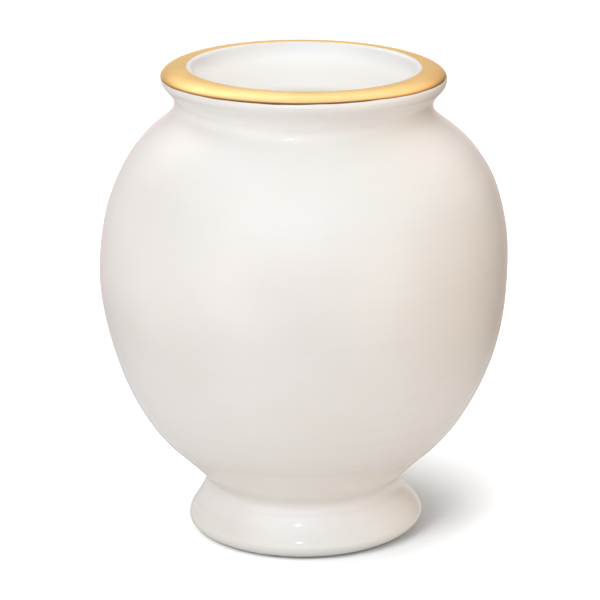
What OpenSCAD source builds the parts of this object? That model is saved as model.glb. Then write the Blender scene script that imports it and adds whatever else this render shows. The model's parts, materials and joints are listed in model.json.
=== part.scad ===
// Globular porcelain vase on a waisted pedestal foot, with a gilded rolled lip.
// Everything is turned about +Z. The origin is the centre of the resting ring.

/* [Overall] */
// Height from the resting ring to the top of the gilded lip
total_h = 222; // [214:1:230]
// Largest diameter of the glazed belly
belly_d = 190; // [182:1:198]
// Height of the largest diameter above the resting ring
belly_z = 127.5; // [122:0.5:132]
// Thickness of the wall, glaze included
wall_t = 6; // [4.5:0.5:8]

/* [Foot] */
// Height of the foot, up to the crease where the belly is luted on
foot_h = 25.8; // [24:0.1:28]
// Largest diameter of the foot's rolled edge
foot_d = 110.4; // [106:0.2:114]
// Height of that largest diameter
foot_roll_z = 6.3; // [5.6:0.1:7.4]
// Diameter at the crease between foot and belly
crease_d = 91.2; // [88:0.2:94]
// Outer diameter of the unglazed resting ring
land_outer_d = 82; // [80:1:86]
// Inner diameter of the unglazed resting ring
land_inner_d = 75; // [72:1:77]
// Diameter of the recess under the vase at its ceiling
recess_d = 71; // [66:1:73]

/* [Neck and lip] */
// Diameter at the narrowest part of the neck
neck_d = 119.2; // [117:0.2:122]
// Diameter at the lip's outer edge
lip_d = 131.6; // [130:0.2:134]
// Diameter of the gilded band's inner edge, at the crown of the lip
crown_d = 106.8; // [105:0.2:109]
// Diameter of the throat, the clear way into the vase
throat_d = 97; // [90:0.5:99]
// Height of the straight stretch of the throat
throat_h = 6; // [5:0.5:7]

/* [Coatings] */
// Thickness of the fired glaze
glaze_t = 0.4; // [0.3:0.05:0.6]
// Thickness of the gilding
gold_t = 0.1; // [0.1:0.05:0.2]

/* [Hidden] */
$fn = 180;

ivory = "#F1EDE4";
biscuit = "#E4DDD0";
inner_white = "#F4F2EE";
gilding = "#DDB35C";

// ---- Curves. Points are [radius, height], and a contour runs with the air on its right-hand side.

function along(p, len, deg) = p + len * [cos(deg), sin(deg)];

function bezier_at(a, b, c, d, t) =
    pow(1 - t, 3) * a + 3 * pow(1 - t, 2) * t * b + 3 * (1 - t) * t * t * c + pow(t, 3) * d;

// The curve from a to d, without its first point, so that stretches join end to end
function bezier(a, b, c, d, n) = [for (i = [1:n]) bezier_at(a, b, c, d, i / n)];

function slice(line, first, last) = [for (i = [first:last]) line[i]];
function reversed(line) = [for (i = [len(line) - 1:-1:0]) line[i]];
function air_side(p, q) = let (d = (q - p) / norm(q - p)) [d[1], -d[0]];

// The contour moved by t into the air, with mitred corners
function coated(line, t) = [
    for (i = [0:len(line) - 1])
        let (before = air_side(line[max(i - 1, 0)], line[max(i, 1)]))
        let (after = air_side(line[min(i, len(line) - 2)], line[min(i + 1, len(line) - 1)]))
        let (middle = (before + after) / norm(before + after))
        line[i] + middle * t / (middle * before)
];

// ---- Outside of the porcelain, from the resting ring up to the crown of the lip.

crown_z = total_h - gold_t - glaze_t;
land_outer = [land_outer_d / 2, 0];
foot_roll = [foot_d / 2 - glaze_t, foot_roll_z];
crease = [crease_d / 2 - glaze_t, foot_h];
hip_angle = 42;
hip = along(crease, 23.4, 44.3);
belly = [belly_d / 2 - glaze_t, belly_z];
shoulder_angle = 140.5;
shoulder = [belly[0] - 25, crown_z - 29.5];
neck = [neck_d / 2 - glaze_t, crown_z - 17.1];
under_lip_angle = 51;
under_lip = neck + [4.1, 8.1];
lip_edge = [lip_d / 2 - glaze_t, crown_z - 4.6];
crown = [crown_d / 2, crown_z];

foot_roll_under = bezier(land_outer, land_outer + [5.8, 0], foot_roll - [0, 5.2], foot_roll, 12);
foot_flank = bezier(foot_roll, foot_roll + [0, 3.4], crease - [0, 9], crease, 14);
lower_belly = concat(
    bezier(crease, along(crease, 7, 44), along(hip, -7, hip_angle), hip, 4),
    bezier(hip, along(hip, 24.5, hip_angle), belly - [0, 34.5], belly, 22)
);
upper_belly = bezier(belly, belly + [0, 41], along(shoulder, -10.5, shoulder_angle), shoulder, 24);
neck_fold = concat(
    bezier(shoulder, along(shoulder, 6.2, shoulder_angle), neck - [0, 5], neck, 12),
    bezier(neck, neck + [0, 4], along(under_lip, -2.4, under_lip_angle), under_lip, 10)
);
lip_roll = bezier(under_lip, along(under_lip, 2.2, under_lip_angle), lip_edge - [0, 2.2], lip_edge, 8);
lip_crown = bezier(lip_edge, lip_edge + [0, 2], crown + [8, 0], crown, 18);

// ---- Inside of the porcelain, from the crown down through the throat to the middle of the floor.

clay_t = wall_t - 2 * glaze_t;
throat_top = [throat_d / 2 + glaze_t, neck[1] + 4];
throat_foot = throat_top - [0, throat_h];
funnel = crown + [-1.9, -1.1];
funnel_angle = -115;
inner_shoulder = along(shoulder, clay_t, shoulder_angle + 90);
inner_belly = belly - [clay_t, 0];
inner_hip = along(hip, clay_t, hip_angle + 90);
floor_z = foot_h + clay_t + 1;
floor_edge = [inner_hip[0] - 22, floor_z];

lip_inside = concat(
    bezier(crown, crown - [1.1, 0], along(funnel, -0.7, funnel_angle), funnel, 6),
    bezier(funnel, along(funnel, 5, funnel_angle), throat_top + [0, 4.5], throat_top, 10)
);
throat = concat([throat_foot],
    bezier(throat_foot, throat_foot - [0, 6], along(inner_shoulder, 9, shoulder_angle), inner_shoulder, 12)
);
cavity = concat(
    bezier(inner_shoulder, along(inner_shoulder, -9.8, shoulder_angle), inner_belly + [0, 38], inner_belly, 22),
    bezier(inner_belly, inner_belly - [0, 32], along(inner_hip, 21, hip_angle), inner_hip, 20),
    bezier(inner_hip, along(inner_hip, -9, hip_angle), floor_edge + [10, 0], floor_edge, 8),
    [[0, floor_z]]
);

// ---- The two contours, and the same contours with their glaze on.

foot_outside = concat([land_outer], foot_roll_under, foot_flank);
outside = concat(foot_outside, lower_belly, upper_belly, neck_fold, lip_roll, lip_crown);
contour = concat(outside, lip_inside, throat, cavity);
glazed = coated(contour, glaze_t);

glaze_start = 5;
crease_at = len(foot_outside) - 1;
crown_at = len(outside) - 1;
gold_start = crown_at - len(lip_crown) + 2;

// ---- The recess under the vase, from its middle out and down to the resting ring.

land_inner = [land_inner_d / 2, 0];
recess_edge = [recess_d / 2, foot_h];
recess_glaze_foot = land_inner + [-0.4, 1.4];
recess = [[0, foot_h], recess_edge, recess_glaze_foot];
recess_glazed = coated(recess, glaze_t);

module turned(line) {
    rotate_extrude() polygon(line);
}

// A coating between two matching contours
module coat(inner_line, outer_line) {
    turned(concat(inner_line, reversed(outer_line)));
}

// ---- Sub-parts

// Pedestal ring, thrown apart and luted under the body. Its resting ring is ground and unglazed.
module foot() {
    color(biscuit) turned(concat(foot_outside, [recess_edge, recess_glaze_foot, land_inner]));
}

// Belly, neck and rolled lip, thrown in one piece
module vase_body() {
    color(biscuit) turned(concat(slice(contour, crease_at, len(contour) - 1), [[0, foot_h]]));
}

// Ivory glaze over the foot, belly, neck and lip
module exterior_glaze() {
    color(ivory) coat(slice(contour, glaze_start, crown_at), slice(glazed, glaze_start, crown_at));
}

// White glaze in the throat and the cavity
module interior_glaze() {
    last = len(contour) - 1;
    color(inner_white) coat(slice(contour, crown_at, last), slice(glazed, crown_at, last));
}

// Ivory glaze on the ceiling and wall of the recess
module recess_glaze() {
    color(ivory) coat(recess, recess_glazed);
}

// Gilding burnished onto the glaze over the whole top of the lip
module gold_rim() {
    band = slice(glazed, gold_start, crown_at);
    color(gilding) coat(band, coated(band, gold_t));
}

foot();
vase_body();
exterior_glaze();
interior_glaze();
recess_glaze();
gold_rim();
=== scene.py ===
import json
import math

import bpy
import numpy as np
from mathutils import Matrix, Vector


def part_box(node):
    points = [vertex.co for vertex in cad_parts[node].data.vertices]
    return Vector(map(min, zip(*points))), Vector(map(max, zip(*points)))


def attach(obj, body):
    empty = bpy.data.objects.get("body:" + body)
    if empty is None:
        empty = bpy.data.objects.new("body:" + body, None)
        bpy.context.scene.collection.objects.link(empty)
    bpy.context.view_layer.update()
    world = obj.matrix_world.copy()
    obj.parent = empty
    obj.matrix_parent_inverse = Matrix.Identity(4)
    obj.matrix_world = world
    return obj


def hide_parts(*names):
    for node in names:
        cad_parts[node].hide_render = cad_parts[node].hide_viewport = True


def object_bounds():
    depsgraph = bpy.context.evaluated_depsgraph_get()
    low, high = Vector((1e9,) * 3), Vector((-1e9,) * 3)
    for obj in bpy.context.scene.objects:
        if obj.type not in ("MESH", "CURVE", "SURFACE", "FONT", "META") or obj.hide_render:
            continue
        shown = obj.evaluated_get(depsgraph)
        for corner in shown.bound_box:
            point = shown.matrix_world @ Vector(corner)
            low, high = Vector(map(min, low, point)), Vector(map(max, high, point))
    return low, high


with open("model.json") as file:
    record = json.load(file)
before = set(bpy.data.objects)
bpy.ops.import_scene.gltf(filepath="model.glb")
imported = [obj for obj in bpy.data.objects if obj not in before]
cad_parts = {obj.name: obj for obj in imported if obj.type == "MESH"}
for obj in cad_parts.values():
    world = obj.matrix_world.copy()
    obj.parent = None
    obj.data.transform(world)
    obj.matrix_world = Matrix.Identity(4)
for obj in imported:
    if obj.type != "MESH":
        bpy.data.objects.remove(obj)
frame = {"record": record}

# The vase: a globular porcelain body on a waisted foot, ivory glaze outside, white glaze inside,
# and a gilded lip. Every visible piece is turned about +Z from one contour. Contours are worked in
# millimetres, as [radius, height], and the meshes are in metres.

MM = 0.001

# ---------------------------------------------------------------------------------------------
# Sizes, from the frame
# ---------------------------------------------------------------------------------------------

cad_low, cad_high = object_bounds()
mounts = {mount["name"]: mount for mount in frame["record"]["mounts"]}


def top_of(node):
    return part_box(node)[1].z / MM


def bottom_of(node):
    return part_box(node)[0].z / MM


def radius_of(node):
    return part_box(node)[1].x / MM


TOTAL_H = cad_high.z / MM
BELLY_R = radius_of("vase_body")
GLAZE_T = radius_of("exterior_glaze") - BELLY_R
GOLD_T = TOTAL_H - top_of("exterior_glaze")
CROWN_Z = TOTAL_H - GOLD_T - GLAZE_T
CREASE_Z = top_of("foot")
FOOT_R = radius_of("foot")
FLOOR_Z = bottom_of("interior_glaze")
LIP_R = radius_of("gold_rim") - GOLD_T - GLAZE_T
THROAT_R = mounts["mouth"]["dims"]["r_mm"] + GLAZE_T
THROAT_H = mounts["mouth"]["dims"]["length_mm"]
CLAY_T = BELLY_R - radius_of("interior_glaze")

# Heights and radii that the boxes don't give
BELLY_Z = 127.5
FOOT_ROLL_Z = 6.3
CREASE_R = 45.2
LAND_OUTER_R = 41.0
LAND_INNER_R = 37.5
RECESS_R = 35.5
NECK_R = 59.2
CROWN_R = 53.4
BEAD_Z = 0.75             # where the ivory glaze ends above the resting ring, in a bead
BEAD_RUN = 0.9            # how far from that edge the bead is thickest
BEAD_HALF = 0.6           # half its width
BEAD_SWELL = 0.25         # how much thicker it is than the coat, as a share

STEP = 0.8                # spacing of the rings on large curves
FINE_STEP = 0.35          # spacing on the lip, the fold, the foot and the crease
COARSE_STEP = 1.2         # spacing where little shows
SEGMENTS = 240            # divisions round the axis
HIDDEN_EVERY = 5          # the hidden side of a coat keeps one ring in this many
ON_AXIS = 1e-6            # a smaller radius counts as a point on the axis
EDGE_RUN = 0.35           # how fast a coat of glaze thins out at its edge
GOLD_EDGE_RUN = 0.12      # and the gold
GOLD_BITE = 0.02          # how far the gold's hidden side lies in the glaze


# ---------------------------------------------------------------------------------------------
# Contours: the numbers beside a named point are how far its curve's handle stands from it
# ---------------------------------------------------------------------------------------------

def point(r, z):
    return np.array([r, z], float)


def along(p, length, degrees):
    """The point at this distance from p, in the direction degrees up from outwards."""
    angle = math.radians(degrees)
    return p + length * point(math.cos(angle), math.sin(angle))


def bezier(a, b, c, d, step=STEP):
    """The curve from a to d, without its first point."""
    def at(t):
        s = 1 - t
        return s ** 3 * a + 3 * s * s * t * b + 3 * s * t * t * c + t ** 3 * d
    length = sum(np.linalg.norm(at((i + 1) / 20) - at(i / 20)) for i in range(20))
    count = max(3, math.ceil(length / step))
    return [at((i + 1) / count) for i in range(count)]


def straight(a, b, step=STEP):
    count = max(1, math.ceil(np.linalg.norm(b - a) / step))
    return [a + (b - a) * (i + 1) / count for i in range(count)]


def normals(line):
    """The direction of the air at each point: the right-hand side of the contour."""
    ahead = np.diff(line, axis=0)
    ahead /= np.linalg.norm(ahead, axis=1)[:, None]
    side = np.column_stack([ahead[:, 1], -ahead[:, 0]])
    middle = np.vstack([side[:1], side]) + np.vstack([side, side[-1:]])
    middle /= np.linalg.norm(middle, axis=1)[:, None]
    return middle


def lengths(line):
    """Distance along the contour at each point."""
    return np.concatenate([[0], np.cumsum(np.linalg.norm(np.diff(line, axis=0), axis=1))])


def filleted(line, corner, reach):
    """The contour with a round in place of its corner, where the glaze has gathered."""
    near = np.flatnonzero(np.linalg.norm(line - corner, axis=1) < reach)
    start, end = line[near[0]], line[near[-1]]
    turn = bezier(start, start + (corner - start) * 0.75, end + (corner - end) * 0.75, end, FINE_STEP)
    return np.vstack([line[:near[0] + 1], turn, line[near[-1] + 1:]])


def softened(line, centre, reach, passes):
    """The contour with its points within reach of centre drawn into a small round."""
    line = line.copy()
    near = np.linalg.norm(line - centre, axis=1) < reach
    near[[0, -1]] = False
    for _ in range(passes):
        middle = (line[:-2] + line[2:]) / 2
        line[1:-1][near[1:-1]] = middle[near[1:-1]]
    return line


# The way the contour runs at a few of its points, in degrees from level
HIP_WAY = 42
SHOULDER_WAY = 140.5
LIP_WAY = 51
FUNNEL_WAY = -115

land_outer = point(LAND_OUTER_R, 0)
foot_roll = point(FOOT_R, FOOT_ROLL_Z)
crease = point(CREASE_R, CREASE_Z)
hip = along(crease, 23.4, 44.3)
belly = point(BELLY_R, BELLY_Z)
shoulder = point(BELLY_R - 25, CROWN_Z - 29.5)
neck = point(NECK_R, CROWN_Z - 17.1)
under_lip = neck + point(4.1, 8.1)
lip_edge = point(LIP_R, CROWN_Z - 4.6)
crown = point(CROWN_R, CROWN_Z)

outside = [land_outer]
outside += bezier(land_outer, land_outer + point(5.8, 0), foot_roll - point(0, 5.2), foot_roll, FINE_STEP)
outside += bezier(foot_roll, foot_roll + point(0, 3.4), crease - point(0, 9), crease, FINE_STEP)
outside += bezier(crease, along(crease, 7, 44), along(hip, -7, HIP_WAY), hip, FINE_STEP)
outside += bezier(hip, along(hip, 24.5, HIP_WAY), belly - point(0, 34.5), belly)
outside += bezier(belly, belly + point(0, 41), along(shoulder, -10.5, SHOULDER_WAY), shoulder)
outside += bezier(shoulder, along(shoulder, 6.2, SHOULDER_WAY), neck - point(0, 5), neck, FINE_STEP)
outside += bezier(neck, neck + point(0, 4), along(under_lip, -2.4, LIP_WAY), under_lip, FINE_STEP)
outside += bezier(under_lip, along(under_lip, 2.2, LIP_WAY), lip_edge - point(0, 2.2), lip_edge, FINE_STEP)
outside += bezier(lip_edge, lip_edge + point(0, 2), crown + point(8, 0), crown, FINE_STEP)

throat_top = point(THROAT_R, neck[1] + 4)
throat_foot = throat_top - point(0, THROAT_H)
funnel = crown + point(-1.9, -1.1)
inner_shoulder = along(shoulder, CLAY_T, SHOULDER_WAY + 90)
inner_belly = belly - point(CLAY_T, 0)
inner_hip = along(hip, CLAY_T, HIP_WAY + 90)
floor_edge = point(inner_hip[0] - 22, FLOOR_Z)

# The recess under the foot, and the eased inner edge of the resting ring from there to the ground
recess_middle = point(0, CREASE_Z)
recess_corner = point(RECESS_R, CREASE_Z)
recess_mouth = point(LAND_INNER_R - 0.4, 1.4)
land_inner = point(LAND_INNER_R + 0.3, 0)
eased = [point(LAND_INNER_R - 0.25, 0.7), point(LAND_INNER_R, 0.22), land_inner]

inside = bezier(crown, crown - point(1.1, 0), along(funnel, -0.7, FUNNEL_WAY), funnel, FINE_STEP)
inside += bezier(funnel, along(funnel, 5, FUNNEL_WAY), throat_top + point(0, 4.5), throat_top)
inside += straight(throat_top, throat_foot)
inside += bezier(throat_foot, throat_foot - point(0, 6), along(inner_shoulder, 9, SHOULDER_WAY),
                 inner_shoulder)
inside += bezier(inner_shoulder, along(inner_shoulder, -9.8, SHOULDER_WAY), inner_belly + point(0, 38),
                 inner_belly, COARSE_STEP)
inside += bezier(inner_belly, inner_belly - point(0, 32), along(inner_hip, 21, HIP_WAY),
                 inner_hip, COARSE_STEP)
inside += bezier(inner_hip, along(inner_hip, -9, HIP_WAY), floor_edge + point(10, 0),
                 floor_edge, COARSE_STEP)
inside += straight(floor_edge, point(0, FLOOR_Z), COARSE_STEP)

contour = filleted(np.array(outside + inside), crease, 3.4)
crown_at = int(np.argmax(contour[:, 1]))
crease_at = int(np.argmin(np.linalg.norm(contour - crease, axis=1)))
air = normals(contour)
glazed = contour + air * GLAZE_T


# ---------------------------------------------------------------------------------------------
# The maker's hand: what makes a thrown pot differ from a perfect turning
# ---------------------------------------------------------------------------------------------

# How far the middle of the pot wanders towards +X, in mm, at a few heights
LEAN = [(0, -0.5), (8, 1.25), (20, -0.1), (45, -0.4), (60, -0.1), (90, 0.3), (122, -0.2), (150, 0.4),
        (172, 0.85), (182, 0.5), (195, -0.25), (212, 0)]
OUT_OF_ROUND = 0.08
RING_DEPTH = 0.0035       # of the throwing rings
GOLD_LOW = 216.75         # height of the gold's lower edge at the left
GOLD_RISE = 1.3           # how much higher the front and the back make it
GOLD_ROUND = 0.01         # rounds its two low points
GOLD_SKEW = 0.6           # its rise from the left to the middle, and again to the right
GOLD_SHORT = 0.65         # how much sooner the gold's inner edge comes at the two sides
GOLD_OVER = 1.1           # and how much further in it runs at the back
GOLD_LOW_WAVES = [(0.08, 5, 1), (0.05, 13, 2.2), (0.03, 29, 0)]      # (size, count, phase)
GOLD_INNER_WAVES = [(0.04, 4, 0.4), (0.03, 11, 0)]
MOUTH_TILT = 0.4          # how much higher the lip stands at its high point, at the back left
HIGH_POINT = math.radians(160)


def smooth(low, high, value):
    """A smooth step from 0 at low to 1 at high."""
    t = np.clip((value - low) / (high - low), 0, 1)
    return t * t * (3 - 2 * t)


def lean(z):
    """How far the middle of the pot lies towards +X at this height, in mm."""
    total = 0.0
    for (low, at_low), (high, at_high) in zip(LEAN, LEAN[1:]):
        total = total + (at_high - at_low) * smooth(low, high, z)
    return LEAN[0][1] + total


def out_of_round(z, angle):
    oval = np.sin(2 * angle + 0.8 + z / 70)
    lobes = 0.45 * np.sin(3 * angle - z / 50 + 2.0)
    return OUT_OF_ROUND * (oval + lobes)


def throwing_rings(z, angle):
    """Fine ridges that climb a little each turn, strongest on the foot and lower belly."""
    climb = z + 2.6 * angle / (2 * math.pi)
    fine = np.sin(climb * 2.05 + 1.3 * np.sin(z / 9.0)) + 0.6 * np.sin(climb * 3.3 + 2 * np.sin(z / 13.0 + 1))
    low = 1 - smooth(30, 110, z)
    return RING_DEPTH * fine * (0.25 + low)


def to_space(r, z, angle, ridges=0.0):
    """A point of the contour, or an array of them, in metres and with the maker's hand in it: points
    near the axis don't lean, and the tilt begins at the neck."""
    radius = r * (1 + out_of_round(z, angle) / BELLY_R) + ridges
    x = radius * np.cos(angle) + lean(z) * np.clip(r / 20, 0, 1)
    y = radius * np.sin(angle)
    tilt = MOUTH_TILT * r / LIP_R * np.cos(angle - HIGH_POINT) * smooth(188, 214, z)
    return np.stack([x, y, z + tilt], axis=-1) * MM


# ---------------------------------------------------------------------------------------------
# Turned meshes
# ---------------------------------------------------------------------------------------------

def turned(name, rings, closed):
    """A mesh from rings of points, each an array of SEGMENTS points, or one point on the axis."""
    verts, faces, starts = [], [], []
    for ring in rings:
        starts.append((len(verts), len(ring)))
        verts.extend(map(tuple, ring))
    pairs = list(zip(starts, starts[1:]))
    if closed:
        pairs.append((starts[-1], starts[0]))
    for (a, a_count), (b, b_count) in pairs:
        for i in range(SEGMENTS):
            j = (i + 1) % SEGMENTS
            if a_count == 1 and b_count == 1:
                continue
            if a_count == 1:
                faces.append((a, b + j, b + i))
            elif b_count == 1:
                faces.append((a + i, a + j, b))
            else:
                faces.append((a + i, a + j, b + j, b + i))
    mesh = bpy.data.meshes.new(name)
    mesh.from_pydata(verts, [], faces)
    mesh.validate()
    mesh.polygons.foreach_set("use_smooth", [True] * len(mesh.polygons))
    mesh.update()
    piece = bpy.data.objects.new(name, mesh)
    bpy.context.scene.collection.objects.link(piece)
    return piece


ANGLES = np.arange(SEGMENTS) * 2 * math.pi / SEGMENTS


def wander(waves):
    """How far an edge strays at each angle: the sum of the waves, each (size, count, phase)."""
    return sum(size * np.sin(count * ANGLES + phase) for size, count, phase in waves)


def ring_at(p, ridge=None):
    if p[0] < ON_AXIS:
        return to_space(np.zeros(1), p[1], np.zeros(1))
    ridges = ridge(p[1], ANGLES) if ridge else 0.0
    return to_space(np.full(SEGMENTS, p[0]), p[1], ANGLES, ridges)


def turned_piece(name, shown, hidden=(), ridge=None):
    """A closed shell: the shown contour, and the hidden one run back to its start."""
    rings = [ring_at(p, ridge) for p in shown] + [ring_at(p) for p in reversed(list(hidden))]
    on_axis = shown[0][0] < ON_AXIS or shown[-1][0] < ON_AXIS
    return turned(name, rings, closed=not on_axis)


def every(line, count):
    """Every count-th point, with the last one kept."""
    picked = list(line[::count])
    if (len(line) - 1) % count:
        picked.append(line[-1])
    return picked


# ---------------------------------------------------------------------------------------------
# Materials
# ---------------------------------------------------------------------------------------------

class Nodes:
    """Short calls for building one material's nodes."""

    def __init__(self, name):
        self.material = bpy.data.materials.new(name)
        self.material.use_nodes = True
        self.tree = self.material.node_tree
        self.shader = self.tree.nodes["Principled BSDF"]

    def add(self, kind, **settings):
        node = self.tree.nodes.new(kind)
        for key, value in settings.items():
            setattr(node, key, value)
        return node

    def link(self, source, target):
        self.tree.links.new(source, target)

    def number(self, operation, a, b=0.0):
        node = self.add("ShaderNodeMath", operation=operation)
        for socket, value in zip(node.inputs, (a, b)):
            if isinstance(value, (int, float)):
                socket.default_value = value
            else:
                self.link(value, socket)
        return node.outputs[0]

    def plus(self, a, b):
        return self.number("ADD", a, b)

    def minus(self, a, b):
        return self.number("SUBTRACT", a, b)

    def times(self, a, b):
        return self.number("MULTIPLY", a, b)

    def over(self, a, b):
        return self.number("DIVIDE", a, b)

    def ramp(self, value, low, high, to_low=0.0, to_high=1.0):
        node = self.add("ShaderNodeMapRange", interpolation_type="SMOOTHSTEP")
        self.link(value, node.inputs["Value"])
        for key, number in (("From Min", low), ("From Max", high), ("To Min", to_low), ("To Max", to_high)):
            node.inputs[key].default_value = number
        return node.outputs["Result"]

    def mix(self, factor, a, b):
        node = self.add("ShaderNodeMix", data_type="RGBA")
        self.link(factor, node.inputs["Factor"])
        for key, value in (("A", a), ("B", b)):
            socket = [s for s in node.inputs if s.name == key and s.type == "RGBA"][0]
            if isinstance(value, tuple):
                socket.default_value = (*value, 1)
            else:
                self.link(value, socket)
        return [s for s in node.outputs if s.type == "RGBA"][0]

    def place(self):
        """The point in the vase's own frame, in metres, as (vector, x, y, z, radius)."""
        coords = self.add("ShaderNodeTexCoord").outputs["Object"]
        split = self.add("ShaderNodeSeparateXYZ")
        self.link(coords, split.inputs[0])
        x, y, z = split.outputs
        radius = self.number("SQRT", self.plus(self.times(x, x), self.times(y, y)))
        return coords, x, y, z, radius

    def noise(self, vector, scale, detail=2.0, rough=0.5, stretch=(1, 1, 1)):
        mapping = self.add("ShaderNodeMapping")
        self.link(vector, mapping.inputs["Vector"])
        mapping.inputs["Scale"].default_value = stretch
        node = self.add("ShaderNodeTexNoise")
        self.link(mapping.outputs[0], node.inputs["Vector"])
        node.inputs["Scale"].default_value = scale
        node.inputs["Detail"].default_value = detail
        node.inputs["Roughness"].default_value = rough
        return node.outputs["Fac"]

    def bump(self, height, strength, distance, below=None):
        node = self.add("ShaderNodeBump")
        node.inputs["Strength"].default_value = strength
        node.inputs["Distance"].default_value = distance
        self.link(height, node.inputs["Height"])
        if below is not None:
            self.link(below, node.inputs["Normal"])
        return node.outputs["Normal"]

    def set(self, **values):
        for key, value in values.items():
            self.shader.inputs[key.replace("_", " ")].default_value = value


def glaze_material(name, base, deep, bands, lines=1.0):
    """Glossy porcelain glaze: a soft body colour under a clear coat. bands are the heights, in mm,
    where the colour shifts, some from glaze that is thicker or thinner and some painted light and
    shade, each (height, half width, amount, colour). lines is the strength of the faint brushed
    lines, which fade towards the belly."""
    n = Nodes(name)
    coords, _, _, z, _ = n.place()
    cloud = n.noise(coords, 22, 3)
    colour = base
    for height, half, amount, tone in bands:
        off = n.number("ABSOLUTE", n.minus(z, height * MM))
        colour = n.mix(n.ramp(off, 0.0, half * MM, amount, 0.0), colour, tone)
    colour = n.mix(n.ramp(cloud, 0.3, 0.75, 0.0, 0.35), colour, deep)
    brushed = n.noise(coords, 1.0, 3, 0.6, (9, 9, 620))
    low = n.ramp(z, 0.03, 0.12, 1.0, 0.3)
    streak = n.times(n.ramp(brushed, 0.42, 0.72), n.times(low, 0.3 * lines))
    colour = n.mix(streak, colour, deep)
    n.link(colour, n.shader.inputs["Base Color"])
    peel = n.noise(coords, 700, 2)
    n.link(n.bump(peel, 0.02, 0.0002), n.shader.inputs["Normal"])
    n.set(Roughness=0.38, IOR=1.5, Specular_IOR_Level=0.3, Coat_Weight=0.9, Coat_Roughness=0.05, Coat_IOR=1.5)
    n.set(Subsurface_Weight=0.12, Subsurface_Radius=(2.2, 1.5, 1.0), Subsurface_Scale=MM)
    return n.material


def gold_material():
    """Burnished gold, darker along its lower edge: partly the thin fired edge of the gold, partly a painted
    dark reflection, strongest at the front.
    """
    n = Nodes("burnished_gilding")
    coords, x, y, z, radius = n.place()
    cloud = n.noise(coords, 60, 3)
    colour = n.mix(n.ramp(cloud, 0.35, 0.7), (0.96, 0.63, 0.29), (0.92, 0.585, 0.255))
    sine = n.over(y, radius)
    rise = n.number("SQRT", n.plus(n.times(sine, sine), GOLD_ROUND))
    edge = n.plus(n.times(rise, GOLD_RISE * MM), (GOLD_LOW + GOLD_SKEW) * MM)
    edge = n.plus(edge, n.times(n.over(x, radius), GOLD_SKEW * MM))
    slope = MOUTH_TILT / LIP_R
    edge = n.plus(edge, n.times(x, slope * math.cos(HIGH_POINT)))
    edge = n.plus(edge, n.times(y, slope * math.sin(HIGH_POINT)))
    above = n.minus(z, edge)
    # Dark margin along the lower edge: partly the thin fired edge of the gold, partly a painted dark
    # reflection
    colour = n.mix(n.ramp(above, 0.0, 1.6 * MM, 0.5, 0.0), colour, (0.45, 0.20, 0.05))
    # Dark line just above the lower edge: the fired edge all round, with a painted dark reflection that is
    # strongest at the front
    fired_edge_and_painted_reflection = n.ramp(sine, -0.95, -0.7, 0.95, 0.4)
    fired_edge_and_painted_reflection = n.times(fired_edge_and_painted_reflection, n.ramp(above, 0.35 * MM, 0.95 * MM, 1.0, 0.0))
    colour = n.mix(fired_edge_and_painted_reflection, colour, (0.16, 0.06, 0.02))
    n.link(colour, n.shader.inputs["Base Color"])
    lap = n.add("ShaderNodeCombineXYZ")
    n.link(n.times(radius, 900), lap.inputs[0])
    n.link(n.times(z, 900), lap.inputs[1])
    n.link(n.times(x, 14), lap.inputs[2])
    polish = n.noise(lap.outputs[0], 1.0, 2)
    n.link(n.bump(polish, 0.03, 0.0002), n.shader.inputs["Normal"])
    wear = n.noise(coords, 160, 3, 0.6)
    n.link(n.ramp(wear, 0.3, 0.75, 0.2, 0.27), n.shader.inputs["Roughness"])
    n.set(Metallic=1.0, Specular_Tint=(1.0, 0.98, 0.68, 1))
    return n.material


def biscuit_material():
    """Bare ground porcelain, toasted a little by the fire beside the glaze's edge."""
    n = Nodes("ground_porcelain")
    coords, _, _, _, radius = n.place()
    grain = n.noise(coords, 900, 4, 0.6)
    colour = n.mix(n.ramp(grain, 0.35, 0.7), (0.80, 0.75, 0.67), (0.72, 0.66, 0.57))
    toast = n.ramp(radius, 0.0445, 0.0475, 0.0, 0.5)
    colour = n.mix(toast, colour, (0.62, 0.47, 0.32))
    n.link(colour, n.shader.inputs["Base Color"])
    lap = n.add("ShaderNodeCombineXYZ")
    n.link(n.times(radius, 2200), lap.inputs[0])
    grind = n.noise(lap.outputs[0], 1.0, 2)
    n.link(n.bump(grind, 0.3, 0.0001, n.bump(grain, 0.3, 0.0001)), n.shader.inputs["Normal"])
    n.set(Roughness=0.72, Specular_IOR_Level=0.3)
    return n.material


IVORY_DEEP = (0.77, 0.705, 0.63)
ivory = glaze_material("ivory_glaze", (0.83, 0.795, 0.755), IVORY_DEEP, [
    (CREASE_Z + 16, 28, 0.9, (0.84, 0.785, 0.71)),       # warmer on the hip, above the crease
    (CREASE_Z - 7, 9, 0.8, (0.87, 0.845, 0.825)),        # painted light: paler on the foot's flank below the crease
    (CREASE_Z, 3.5, 0.3, IVORY_DEEP),                    # glaze gathered in the crease, with painted shade there
    (8, 8, 0.6, (0.79, 0.755, 0.71)),                    # darker on the foot's roll
    (CROWN_Z - 12.5, 10, 0.95, (0.97, 0.97, 0.95))])     # painted light: paler under the lip, where the neck is in shade
white = glaze_material("white_glaze", (0.90, 0.885, 0.86), (0.87, 0.85, 0.82), [
    (CROWN_Z, 8, 0.9, (0.74, 0.735, 0.72)),              # glaze thin over the crown of the lip, with painted shade there
    (FLOOR_Z, 8, 0.3, (0.82, 0.80, 0.76))], 0.5)         # gathered on the floor
gold = gold_material()
biscuit = biscuit_material()


# ---------------------------------------------------------------------------------------------
# Pieces
# ---------------------------------------------------------------------------------------------

def finish_piece(piece, node, material):
    piece.data.materials.append(material)
    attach(piece, "root")
    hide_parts(node)


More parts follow.
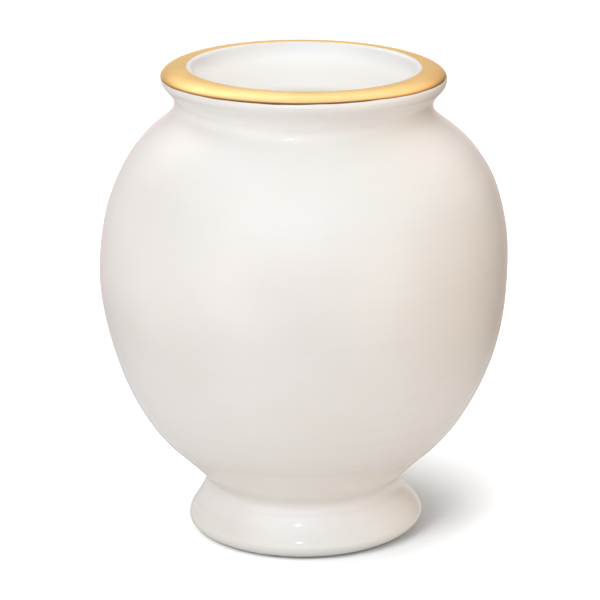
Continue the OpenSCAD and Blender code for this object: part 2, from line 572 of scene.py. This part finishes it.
def exterior():
    """The ivory glaze, from a rounded bead just above the resting ring to the top of the lip."""
    first = int(np.argmax(contour[:, 1] > BEAD_Z))
    part = slice(first, crown_at + 1)
    run = lengths(contour[part])
    swell = np.exp(-((run - BEAD_RUN) / BEAD_HALF) ** 2)
    bead = 1 - np.exp(-run / EDGE_RUN) + BEAD_SWELL * swell
    shown = contour[part] + air[part] * (GLAZE_T * bead)[:, None]
    hidden = every(contour[part], HIDDEN_EVERY)
    piece = turned_piece("ivory_glaze_coat", list(shown), hidden[1:], throwing_rings)
    finish_piece(piece, "exterior_glaze", ivory)


def interior():
    """The white glaze of the throat, the cavity and its floor."""
    shown = list(glazed[crown_at:])
    hidden = every(contour[crown_at:], HIDDEN_EVERY)
    piece = turned_piece("white_glaze_lining", shown, hidden)
    finish_piece(piece, "interior_glaze", white)


def porcelain_body():
    """The clay under the glazes: belly, neck and lip in one piece."""
    shown = [recess_middle] + every(contour[crease_at:], 2)
    piece = turned_piece("porcelain_body", shown)
    finish_piece(piece, "vase_body", biscuit)


def foot_ring():
    """The pedestal ring, with its ground resting ring."""
    wall = straight(recess_corner, recess_mouth, 1.5)
    land = straight(land_inner, land_outer, 0.6)[:-1]
    shown = list(contour[:crease_at + 1]) + [recess_corner] + wall + eased + land
    piece = turned_piece("porcelain_foot_ring", shown)
    finish_piece(piece, "foot", biscuit)


def recess():
    """The glaze under the vase, with a soft corner. It thins out at the mouth of the recess."""
    roof = [recess_middle] + straight(recess_middle, recess_corner)
    base = np.array(roof + straight(recess_corner, recess_mouth))
    coat = softened(base + normals(base) * GLAZE_T, recess_corner, 2.6, 30)
    run = lengths(base)
    end = 1 - np.exp(-(run[-1] - run) / EDGE_RUN)
    coat = base + (coat - base) * end[:, None]
    piece = turned_piece("recess_glaze_coat", list(coat), every(base, 4))
    finish_piece(piece, "recess_glaze", ivory)


def gilding():
    """The gold on the lip, brushed on by hand: it runs lower at the two sides than at the front, and
    its edges wander a little."""
    run = lengths(glazed)
    side = normals(glazed)
    lip = slice(int(np.argmax(glazed[:, 1] > neck[1] + 6)), crown_at + 1)
    cosine, sine = np.cos(ANGLES), np.sin(ANGLES)
    low_edge = GOLD_LOW + GOLD_RISE * np.sqrt(sine ** 2 + GOLD_ROUND) + GOLD_SKEW * (1 + cosine)
    low_edge += wander(GOLD_LOW_WAVES)
    start = np.interp(low_edge, glazed[lip, 1], run[lip])
    end = run[crown_at] - GOLD_SHORT * cosine ** 2 + GOLD_OVER * np.clip(sine, 0, 1)
    end += wander(GOLD_INNER_WAVES)

    def ring(t, height):
        """The ring at t of the way from the lower edge to the inner one, height above the glaze."""
        s = start * (1 - t) + end * t
        r = np.interp(s, run, glazed[:, 0]) + np.interp(s, run, side[:, 0]) * height
        z = np.interp(s, run, glazed[:, 1]) + np.interp(s, run, side[:, 1]) * height
        return to_space(r, z, ANGLES)

    rows, skip = 60, 4
    rings = []
    for i in range(rows + 1):
        t = i / rows
        from_edge = min(t, 1 - t) * (run[crown_at] - start.mean())
        rings.append(ring(t, GOLD_T * (1 - math.exp(-from_edge / GOLD_EDGE_RUN))))
    rings += [ring(i / rows, -GOLD_BITE) for i in range(rows - skip, 0, -skip)]
    piece = turned("gilded_lip", rings, closed=True)
    finish_piece(piece, "gold_rim", gold)


exterior()
interior()
porcelain_body()
foot_ring()
recess()
gilding()


# ---------------------------------------------------------------------------------------------
# Stage, light and camera
# ---------------------------------------------------------------------------------------------

def floor(name, size, z, tone, fade=None):
    """A square sheet of grey paper, size metres wide. fade is where it thins away: from and to which
    radius."""
    cells = 24
    edge = [-size / 2 + size * i / cells for i in range(cells + 1)]
    verts = [(x, y, z) for y in edge for x in edge]
    row = cells + 1
    faces = [
        (j * row + i, j * row + i + 1, (j + 1) * row + i + 1, (j + 1) * row + i)
        for j in range(cells) for i in range(cells)]
    mesh = bpy.data.meshes.new(name)
    mesh.from_pydata(verts, [], faces)
    n = Nodes(name + "_paper")
    coords, _, _, _, radius = n.place()
    grey = n.mix(n.noise(coords, 3, 2), (tone, tone, tone), (tone - 0.01, tone - 0.01, tone - 0.01))
    n.link(grey, n.shader.inputs["Base Color"])
    n.set(Roughness=0.9, Specular_IOR_Level=0.1)
    if fade:
        n.link(n.ramp(radius, *fade, 1.0, 0.0), n.shader.inputs["Alpha"])
    mesh.materials.append(n.material)
    piece = bpy.data.objects.new(name, mesh)
    bpy.context.scene.collection.objects.link(piece)
    return piece


def floors():
    """White paper for the camera, and the dimmer sheet that the pot itself sees and mirrors, as on a
    set whose background is whitened only where it shows."""
    shown = floor("floor", size=24.0, z=0.0, tone=0.38)
    shown.visible_diffuse = False
    shown.visible_glossy = False
    shown.visible_transmission = False
    shown.visible_shadow = False
    mirrored = floor("floor_below", size=0.7, z=-0.1 * MM, tone=0.7, fade=(0.1, 0.34))
    mirrored.visible_camera = False


def bearing(degrees, height):
    """The direction of a light: degrees go from behind the camera round to its right, height is up."""
    turn, lift = math.radians(degrees), math.radians(height)
    return Vector((math.sin(turn) * math.cos(lift), -math.cos(turn) * math.cos(lift), math.sin(lift)))


# The studio's light as soft glows all round: (bearing, height, colour)
GLOWS = [
    (-45, -10, (1.04, 1.05, 1.10)),     # white table in front, and to both sides
    (45, -10, (1.05, 1.03, 0.88)),
    (-90, -10, (1.15, 1.12, 1.06)),
    (90, -10, (0.58, 0.28, 0.08)),      # its dark wooden end on the right
    (-135, -10, (0.52, 0.53, 0.55)),
    (180, -10, (0.89, 0.72, 0.69)),
    (0, 12, (1.20, 1.10, 1.20)),        # white reflector under the camera
    (-45, 12, (0.80, 0.63, 0.54)),
    (45, 12, (0.75, 0.53, 0.38)),
    (0, 42, (0.62, 0.93, 1.13)),        # daylight from in front
    (-45, 42, (1.08, 1.10, 1.02)),
    (45, 42, (0.40, 0.54, 0.62)),
    (90, 42, (0.88, 0.81, 0.67)),       # warm walls on the right
    (135, 42, (1.04, 0.80, 0.64)),
    (-135, 42, (1.55, 1.41, 1.34)),     # window behind, on the left
    (180, 42, (0.91, 0.98, 1.09)),
    (0, 90, (0.90, 1.01, 1.10)),        # overhead bank
]
GLOW_FOCUS = 10.0           # the higher, the tighter the glows


def studio():
    """The world: each glow has its colour at its own bearing and falls off smoothly all round it."""
    world = bpy.data.worlds.new("studio")
    world.use_nodes = True
    tree = world.node_tree

    def step(kind, operation, source):
        node = tree.nodes.new(kind)
        node.operation = operation
        if source is not None:
            tree.links.new(source, node.inputs[0])
        return node

    toward = tree.nodes.new("ShaderNodeTexCoord").outputs["Generated"]
    total = None
    for degrees, height, colour in GLOWS:
        dot = step("ShaderNodeVectorMath", "DOT_PRODUCT", toward)
        dot.inputs[1].default_value = bearing(degrees, height)
        fall = step("ShaderNodeMath", "MULTIPLY_ADD", dot.outputs["Value"])
        fall.inputs[1].default_value = GLOW_FOCUS
        fall.inputs[2].default_value = -GLOW_FOCUS
        glow = step("ShaderNodeMath", "EXPONENT", fall.outputs[0])
        tint = step("ShaderNodeVectorMath", "SCALE", None)
        tint.inputs[0].default_value = colour
        tree.links.new(glow.outputs[0], tint.inputs["Scale"])
        if total is None:
            total = tint.outputs[0]
        else:
            both = step("ShaderNodeVectorMath", "ADD", total)
            tree.links.new(tint.outputs[0], both.inputs[1])
            total = both.outputs[0]
    tree.links.new(total, tree.nodes["Background"].inputs["Color"])
    bpy.context.scene.world = world


def lamp(name, place, target, size, watts, receivers, spread=180, colour=(1, 1, 1), only=""):
    """An area light that only the named receivers catch. size is (width, height) in metres, spread is
    in degrees. only is "soft" for no highlight, "highlight" for nothing else, or empty for both."""
    data = bpy.data.lights.new(name, "AREA")
    data.shape = "ELLIPSE"
    data.size, data.size_y = size
    data.energy = watts
    data.color = colour
    data.spread = math.radians(spread)
    light = bpy.data.objects.new(name, data)
    light.location = place
    light.rotation_mode = "QUATERNION"
    light.rotation_quaternion = (target - place).to_track_quat("-Z", "Y")
    light.visible_glossy = only != "soft"
    light.visible_diffuse = only != "highlight"
    light.visible_camera = False
    bpy.context.scene.collection.objects.link(light)
    group = bpy.data.collections.new(name + "_receivers")
    for receiver in receivers:
        group.objects.link(bpy.data.objects[receiver])
    light.light_linking.receiver_collection = group


# The lamps that whiten the shown floor. Most of their light comes from the left, so the pot's shadow
# falls to the right: (bearing, height, size in metres, watts)
FLOOR_LAMPS = [
    (-45, 10, 0.4, 10),
    (-30, 15, 0.4, 18),
    (10, 8, 0.4, 7),
    (-30, 35, 0.6, 24),
    (-45, 35, 0.6, 20),
    (-60, 60, 0.8, 24),
    (45, 35, 0.6, 13),
    (0, 90, 1.2, 58),
]
FLOOR_LAMP_REACH = 1.6      # how far they stand from the pot, in metres


def lamps():
    """The floor's lamps, the light that comes through the thin wall into the pot, and the small
    window's highlights on the foot and the neck."""
    middle = Vector((0, 0, 0))
    up = Vector((0, 0, 1))
    for degrees, height, size, watts in FLOOR_LAMPS:
        place = FLOOR_LAMP_REACH * bearing(degrees, height)
        lamp(f"floor_lamp_{degrees}_{height}", place, middle, (size, size), watts, ["floor"])
    back = Vector((0, 1.7, 1.0))
    lamp("floor_lamp_back", back, back - up, (0.8, 0.8), 5, ["floor"])
    deep = Vector((0, 0, 165)) * MM
    lamp("inner_glow", deep, deep + up, (0.06, 0.06), 0.029, ["white_glaze_lining"],
         colour=(1.0, 0.95, 0.89), only="soft")
    foot_front = Vector((0, -FOOT_R, 10)) * MM
    lamp("foot_glint", foot_front + 0.6 * bearing(-7.5, 44), foot_front, (0.1, 0.035), 0.0003,
         ["ivory_glaze_coat"], spread=8, only="highlight")
    neck_front = Vector((0, -NECK_R - 1, 201)) * MM
    lamp("neck_glint", neck_front + 0.25 * bearing(-12, 33), neck_front, (0.045, 0.04), 0.0008,
         ["ivory_glaze_coat"], spread=6, only="highlight")


# The camera, fitted to the photo's outline, in front of the pot and a little above it
CAMERA_BACK = 5.7636 * TOTAL_H * MM
CAMERA_UP = 2.2578 * TOTAL_H * MM
CAMERA_PITCH = 17.01        # degrees down from level
CAMERA_YAW = 0.08
CAMERA_LENS = 171.4         # mm, on a sensor of CAMERA_SENSOR mm
CAMERA_SENSOR = 36


def camera():
    data = bpy.data.cameras.new("camera")
    data.lens = CAMERA_LENS
    data.sensor_width = CAMERA_SENSOR
    data.clip_start = 0.05
    data.clip_end = 50
    lens = bpy.data.objects.new("camera", data)
    lens.location = (0, -CAMERA_BACK, CAMERA_UP)
    lens.rotation_euler = (math.radians(90 - CAMERA_PITCH), 0, math.radians(CAMERA_YAW))
    bpy.context.scene.collection.objects.link(lens)
    bpy.context.scene.camera = lens


floors()
studio()
lamps()
camera()
bpy.context.scene.view_settings.view_transform = "Standard"
